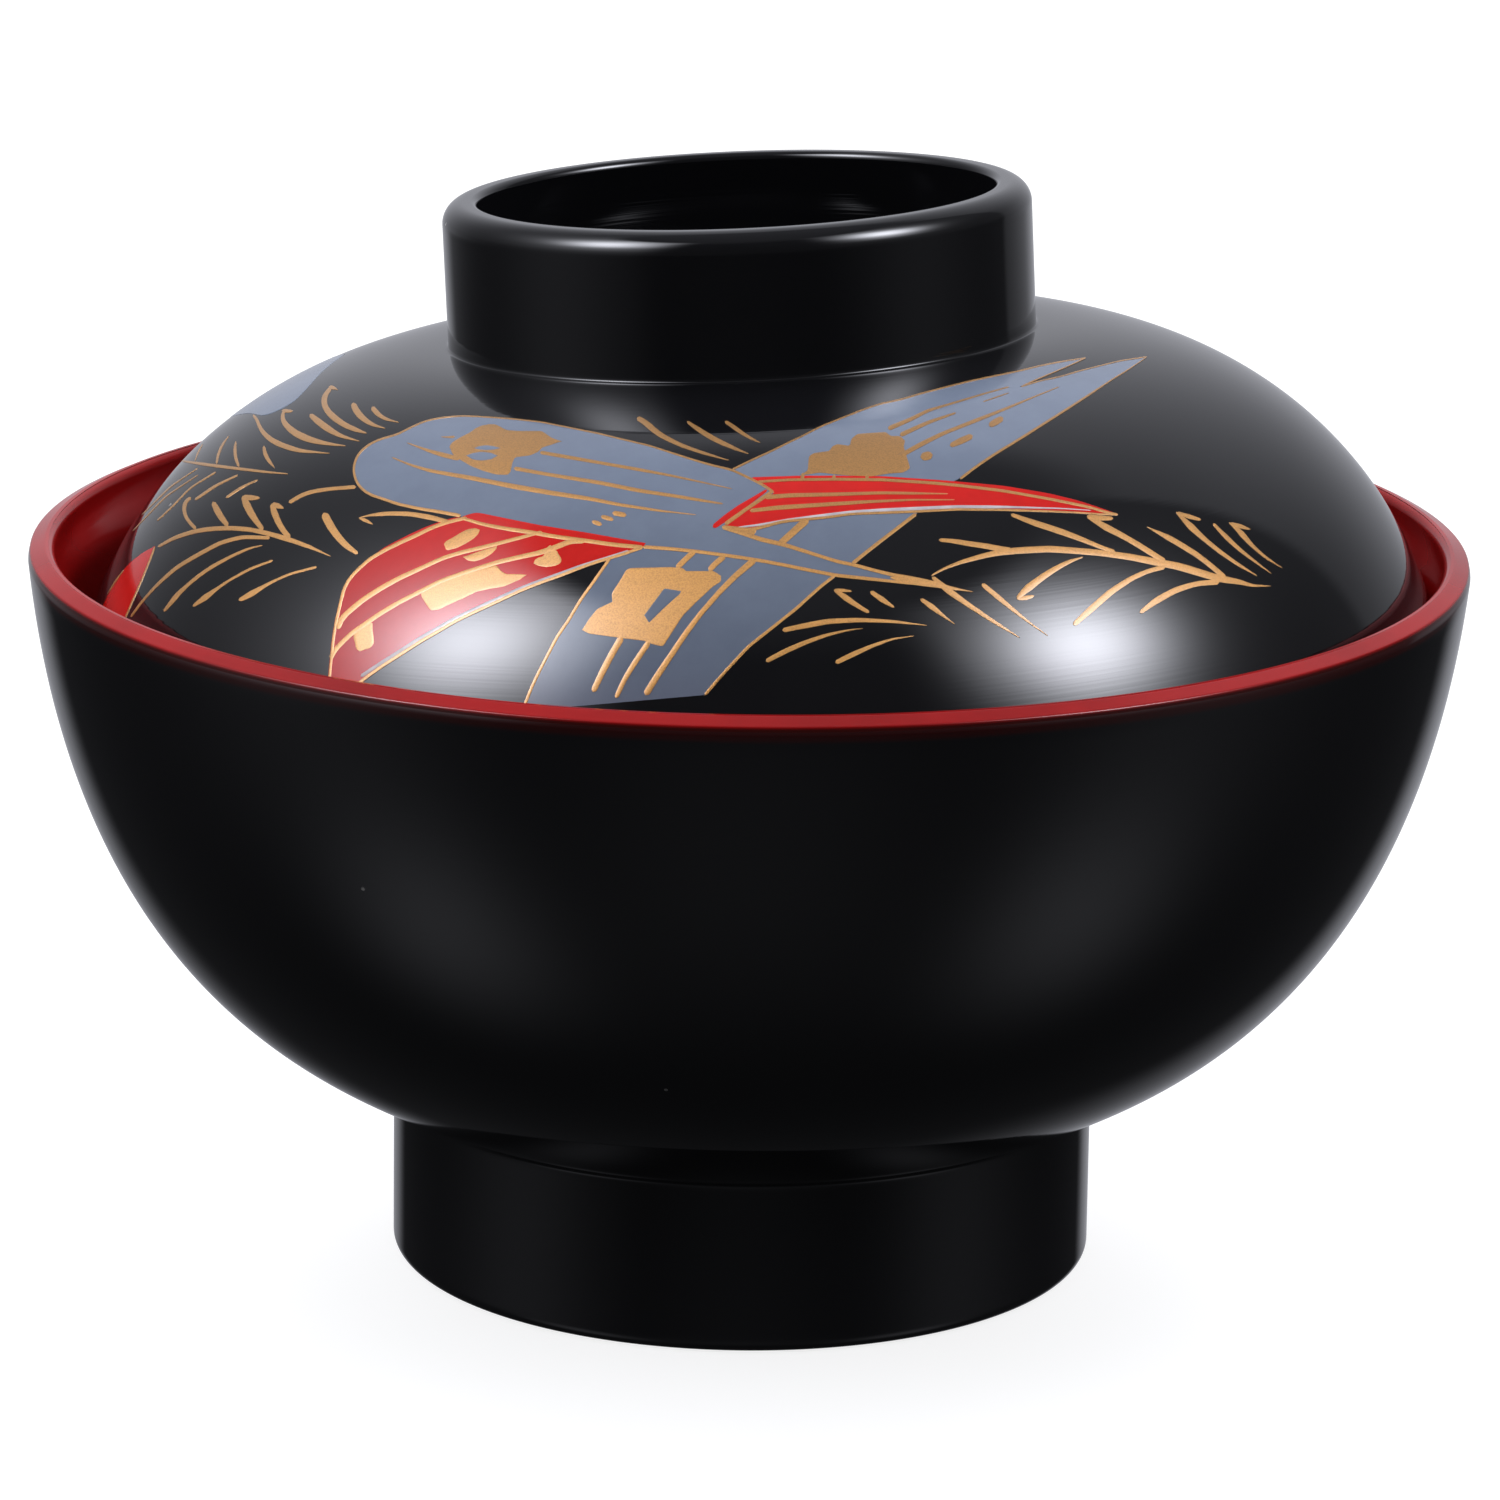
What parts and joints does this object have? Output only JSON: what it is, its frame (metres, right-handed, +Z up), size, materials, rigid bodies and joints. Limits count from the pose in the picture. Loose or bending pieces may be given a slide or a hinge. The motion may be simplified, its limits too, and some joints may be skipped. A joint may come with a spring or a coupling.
{
  "type": "soup bowl",
  "caption": "Round lacquered soup bowl on a foot ring, red inside, with a domed lid that sits inside the lip and lifts off by its ring.",
  "frame": {"origin": "centre of the foot ring's underside, on the surface the bowl stands on", "axes": "+Z up, -Y towards the viewer of the picture, +X to that viewer's right"},
  "size_m": [0.12, 0.12, 0.0925],
  "materials": {
    "black_lacquer": "mirror-gloss black lacquer",
    "red_lacquer": "satin-gloss vermilion lacquer"
  },
  "bodies": {
    "bowl": {"bowl_shell": "black_lacquer", "bowl_lining": "red_lacquer"},
    "lid": {"lid_shell": "black_lacquer", "lid_lining": "red_lacquer"}
  },
  "joints": [
    {"name": "lid_lift", "type": "slide", "parent": "bowl", "child": "lid", "axis": [0, 0, 1], "range_m": [0, 0.1]}
  ]
}
